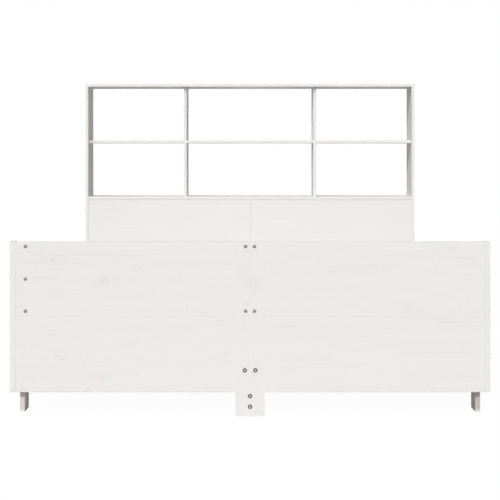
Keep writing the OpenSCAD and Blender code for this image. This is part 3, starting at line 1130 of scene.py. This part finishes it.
def floor_material():
    """White floor that still takes the shadow of the bed."""
    tree, shader = new_material("Studio Floor")
    dull = put(tree, "ShaderNodeBsdfDiffuse", {"Color": grey(FLOOR_GREY)})
    thin = put(tree, "ShaderNodeBsdfDiffuse", {"Color": grey(FLOOR_SEEN_GREY)})
    glow = put(tree, "ShaderNodeEmission", {"Color": grey(1.0), "Strength": FLOOR_GLOW})
    white = put(tree, "ShaderNodeAddShader", {0: thin.outputs[0], 1: glow.outputs[0]})
    inputs = {0: backdrop_ray(tree), 1: dull.outputs[0], 2: white.outputs[0]}
    mixed = put(tree, "ShaderNodeMixShader", inputs)
    tree.nodes.remove(shader)
    tree.links.new(mixed.outputs[0], tree.nodes["Material Output"].inputs["Surface"])


def studio_world(sky, front):
    """Soft light all round, more from above and the camera's side, and white to the camera."""
    world = bpy.data.worlds.new("Studio")
    world.use_nodes = True
    tree = world.node_tree
    way = put(tree, "ShaderNodeSeparateXYZ", {0: object_coords(tree)}).outputs
    above = ramp(tree, way["Z"], 0.0, 1.0)
    facing = math_node(tree, "MULTIPLY", way["Y"], -1.0, clamp=True)
    level = weighted_sum(tree, [(above, SKY_RISE * sky), (facing, front)], SKY_LOW * sky)
    inputs = {0: backdrop_ray(tree), 2: level, 3: 1.0}
    strength = put(tree, "ShaderNodeMix", inputs, data_type="FLOAT").outputs[0]
    ground = tree.nodes["Background"]
    ground.inputs["Color"].default_value = grey(1.0)
    tree.links.new(strength, ground.inputs["Strength"])
    return world


def sun(name, toward, facing, level, angle):
    """Distant lamp in a direction, by the light that it gives a surface that faces one way."""
    lamp = linked(name, bpy.data.lights.new(name, "SUN"))
    way = Vector(toward).normalized()
    lamp.data.energy = level * math.pi / way.dot(Vector(facing))
    lamp.data.angle = math.radians(angle)
    lamp.rotation_euler = way.to_track_quat("Z", "Y").to_euler()


def studio_camera(studio, face_y):
    """Level camera straight in front of the footboard, its lens shifted down."""
    camera = linked("Camera", bpy.data.cameras.new("Camera"))
    camera.data.sensor_width = 36.0
    camera.data.lens = studio.lens
    camera.data.shift_y = -studio.drop
    camera.data.clip_end = 200.0
    camera.location = (0.0, face_y - studio.distance, studio.height)
    camera.rotation_euler = (math.pi / 2, 0.0, 0.0)
    return camera


# Operators


class BED_OT_stage(bpy.types.Operator):
    """Set the camera, the lights and the floor"""

    bl_idname = "bed.stage"
    bl_label = "Stage"

    def execute(self, context):
        scene = context.scene
        studio = scene.bed_studio
        face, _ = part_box("footboard_upper_left")
        scene.camera = studio_camera(studio, face.y)

        for across, share in KEY_PANEL:
            way = (-across, -1.0, KEY_RISE)
            sun(f"Key {across:.1f}", way, FRONT, studio.key * share, KEY_ANGLE)
        for name, way, facing, strength, share, angle in LAMPS:
            sun(name, way, facing, getattr(studio, strength) * share, angle)

        bm = bmesh.new()
        bmesh.ops.create_grid(bm, x_segments=1, y_segments=1, size=FLOOR_HALF)
        bmesh.ops.translate(bm, verts=bm.verts[:], vec=(0.0, 0.0, -FLOOR_BELOW))
        floor = as_object("studio_floor", bm)
        floor_material()
        floor.data.materials.append(bpy.data.materials["Studio Floor"])

        scene.world = studio_world(studio.sky, studio.front)
        scene.view_settings.view_transform = "Standard"
        return {"FINISHED"}


class BED_OT_finishes(bpy.types.Operator):
    """Make the paint and the metals"""

    bl_idname = "bed.finishes"
    bl_label = "Finishes"

    def execute(self, context):
        finish = context.scene.bed_finish
        painted_pine("Pine Across", "X", finish, finish.paint)
        painted_pine("Pine Along", "Y", finish, finish.paint)
        painted_pine("Pine Upright", "Z", finish, finish.paint)
        # The darker head paint and the warmer leg paint are copies of the same white paint, tinted
        # as painted shade
        painted_pine("Pine Head Panel", "X", finish, finish.head)
        painted_pine("Pine Bookcase", "Z", finish, finish.head)
        painted_pine("Pine Leg", "Z", finish, finish.leg)
        painted_pine("Pine Footboard", "X", finish, finish.paint, FOOTBOARD_KNOTS)
        painted_pine("Pine Plate", "Z", finish, finish.paint, PLATE_KNOTS)
        # Socket floor grey is painted light: dark for shade in the screw recesses, pale for a
        # highlight in the bolt sockets
        metal("Zinc Screw", finish.zinc, rough=0.38, painted_socket_floor=0.08)
        metal("Bolt Steel", finish.bolt, rough=0.20, painted_socket_floor=0.66)
        bare_beech("Beech Dowel")
        return {"FINISHED"}


class BED_OT_foot_end(bpy.types.Operator):
    """Make the footboard, the plate in its middle and what stands behind them"""

    bl_idname = "bed.foot_end"
    bl_label = "Foot End"

    def execute(self, context):
        sizes = context.scene.bed_sizes
        boards(FOOTBOARDS, "X", "Pine Footboard", sizes.arris, sizes.plate_arris)
        boards(["foot_centre_plate"], "Z", "Pine Plate", sizes.plate_arris, sizes.plate_arris)
        boards(FOOT_UPRIGHTS, "Z", "Pine Upright", sizes.arris, sizes.end_arris)
        dress("foot_centre_block", "Pine Upright")
        return {"FINISHED"}


class BED_OT_rails_and_legs(bpy.types.Operator):
    """Make the side rails and the leg boards"""

    bl_idname = "bed.rails_and_legs"
    bl_label = "Rails and Legs"

    def execute(self, context):
        sizes = context.scene.bed_sizes
        boards(RAILS, "Y", "Pine Along", sizes.arris, sizes.rail_end_arris)
        # The legs take the warmer copy of the paint, as painted warm shade
        boards(LEGS, "Z", "Pine Leg", sizes.upright_arris, sizes.end_arris)
        return {"FINISHED"}


class BED_OT_slatted_base(bpy.types.Operator):
    """Make the slats and what carries them"""

    bl_idname = "bed.slatted_base"
    bl_label = "Slatted Base"

    def execute(self, context):
        sizes = context.scene.bed_sizes
        boards(BASE_LONG, "Y", "Pine Along", sizes.arris, sizes.end_arris)
        boards(BASE_UPRIGHT, "Z", "Pine Upright", sizes.arris, sizes.end_arris)

        nodes = sorted(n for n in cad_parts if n.startswith("slat_") and n[5:].isdigit())
        low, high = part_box(nodes[0])
        last_low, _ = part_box(nodes[-1])
        slat_tree()
        slats = as_object("slats", eased_board(low, high, "X", sizes.arris, sizes.end_arris))
        grow(
            slats,
            "Slats",
            Count=len(nodes),
            Pitch=(last_low.y - low.y) / (len(nodes) - 1),
            Seed=7,
            Finish=bpy.data.materials["Pine Across"],
        )
        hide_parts(*nodes)
        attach(slats, BODY)
        return {"FINISHED"}


class BED_OT_bookcase(bpy.types.Operator):
    """Make the bookcase headboard"""

    bl_idname = "bed.bookcase"
    bl_label = "Bookcase"

    def execute(self, context):
        sizes = context.scene.bed_sizes
        boards(BOOKCASE_ACROSS, "X", "Pine Across", sizes.shelf_arris, sizes.end_arris)
        # The head panels and bookcase uprights take the darker copy of the paint, as painted shade
        boards(HEAD_PANELS, "X", "Pine Head Panel", sizes.arris, sizes.shelf_arris)
        boards(BOOKCASE_UPRIGHT, "Z", "Pine Bookcase", sizes.upright_arris, sizes.end_arris)
        dress("bookcase_dowels", "Beech Dowel")
        return {"FINISHED"}


class BED_OT_fasteners(bpy.types.Operator):
    """Set the screws and bolts"""

    bl_idname = "bed.fasteners"
    bl_label = "Fasteners"

    def execute(self, context):
        sizes = context.scene.bed_sizes
        fastener_tree()
        pan, flush, bolt = pan_head(sizes), flush_head(sizes), bolt_head(sizes)
        thin = unit_shank("screw_shank", sizes.shank_diameter)
        thick = unit_shank("bolt_shank", sizes.bolt_shank)

        zinc, steel = ("Zinc Screw", "screw_zinc"), ("Bolt Steel", "bolt_steel")
        set_fasteners("front_screws", "front_screw_set", pan, thin, PAN_STANDS, *zinc)
        set_fasteners("end_screws", "end_screw_set", pan, thin, PAN_STANDS, *zinc)
        set_fasteners("frame_screws", "frame_screw_set", flush, thin, 0.0, *zinc)
        set_fasteners("slat_screws", "slat_screw_set", flush, thin, 0.0, *zinc)
        set_fasteners("plate_bolts", "plate_bolt_set", bolt, thick, sizes.bolt_height, *steel)
        for pattern in (pan, flush, bolt, thin, thick):
            drop(pattern)
        dress("barrel_nuts", "Bolt Steel")
        return {"FINISHED"}


OPERATORS = (
    BED_OT_stage,
    BED_OT_finishes,
    BED_OT_foot_end,
    BED_OT_rails_and_legs,
    BED_OT_slatted_base,
    BED_OT_bookcase,
    BED_OT_fasteners,
)


class BED_PT_panel(bpy.types.Panel):
    """Sizes, finishes and steps of the bed"""

    bl_label = "Bed Frame"
    bl_space_type = "VIEW_3D"
    bl_region_type = "UI"
    bl_category = "Bed"

    def draw(self, context):
        scene = context.scene
        for group in (scene.bed_sizes, scene.bed_finish, scene.bed_studio):
            box = self.layout.box()
            for name in group.bl_rna.properties.keys():
                if name not in {"rna_type", "name"}:
                    box.prop(group, name)
        for operator in OPERATORS:
            self.layout.operator(operator.bl_idname)


CLASSES = (BedSizes, BedFinish, Studio, *OPERATORS, BED_PT_panel)


def register():
    """Adds the classes and their properties."""
    for cls in CLASSES:
        bpy.utils.register_class(cls)
    bpy.types.Scene.bed_sizes = bpy.props.PointerProperty(type=BedSizes)
    bpy.types.Scene.bed_finish = bpy.props.PointerProperty(type=BedFinish)
    bpy.types.Scene.bed_studio = bpy.props.PointerProperty(type=Studio)


def unregister():
    """Takes the properties and the classes out again."""
    del bpy.types.Scene.bed_studio
    del bpy.types.Scene.bed_finish
    del bpy.types.Scene.bed_sizes
    for cls in reversed(CLASSES):
        bpy.utils.unregister_class(cls)


def main():
    """Makes the whole bed."""
    register()
    bpy.ops.bed.stage()
    bpy.ops.bed.finishes()
    bpy.ops.bed.foot_end()
    bpy.ops.bed.rails_and_legs()
    bpy.ops.bed.slatted_base()
    bpy.ops.bed.bookcase()
    bpy.ops.bed.fasteners()


if __name__ == "__main__":
    main()
